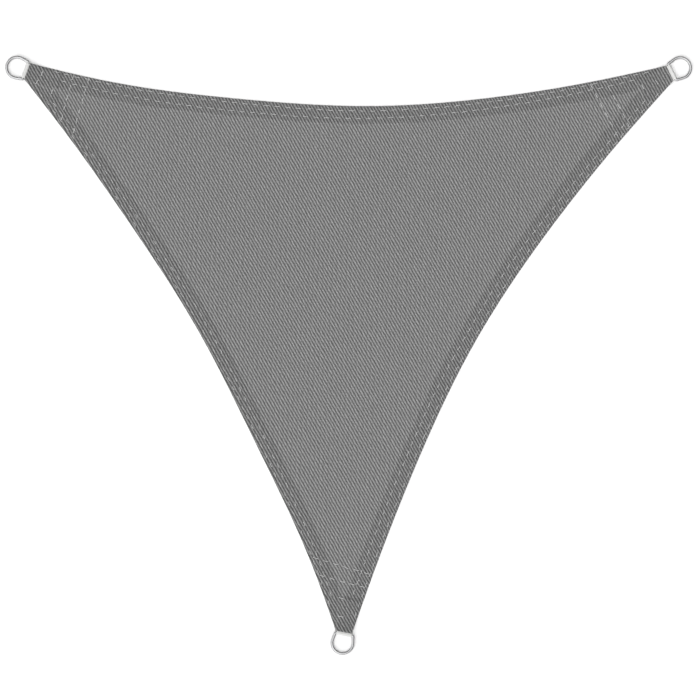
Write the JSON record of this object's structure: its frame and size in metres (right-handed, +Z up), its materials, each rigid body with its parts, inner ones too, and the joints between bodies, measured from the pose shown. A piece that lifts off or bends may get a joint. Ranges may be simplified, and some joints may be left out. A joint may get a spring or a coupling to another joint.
{
  "type": "shade sail",
  "caption": "Triangular shade sail of ribbed cloth with a folded hem, hollow sides and blunt tips, each holding a steel D-ring in a sewn webbing loop.",
  "frame": {"origin": "on the surface the sail lies on, under the middle of the whole outline, rings included", "axes": "+X to the right along the top side, from the left tip to the right tip; +Y towards the top side, away from the bottom tip; +Z up out of the sail's face"},
  "size_m": [1.9984, 1.7432, 0.0123],
  "materials": {
    "cloth": "ribbed knitted shade cloth, mid grey",
    "webbing": "flat woven polyester webbing, off-white",
    "steel": "polished stainless steel wire"
  },
  "bodies": {
    "root": {"sail_cloth": "cloth", "webbing_left": "webbing", "webbing_bottom": "webbing", "webbing_right": "webbing", "ring_left": "steel", "ring_bottom": "steel", "ring_right": "steel"}
  },
  "joints": []
}
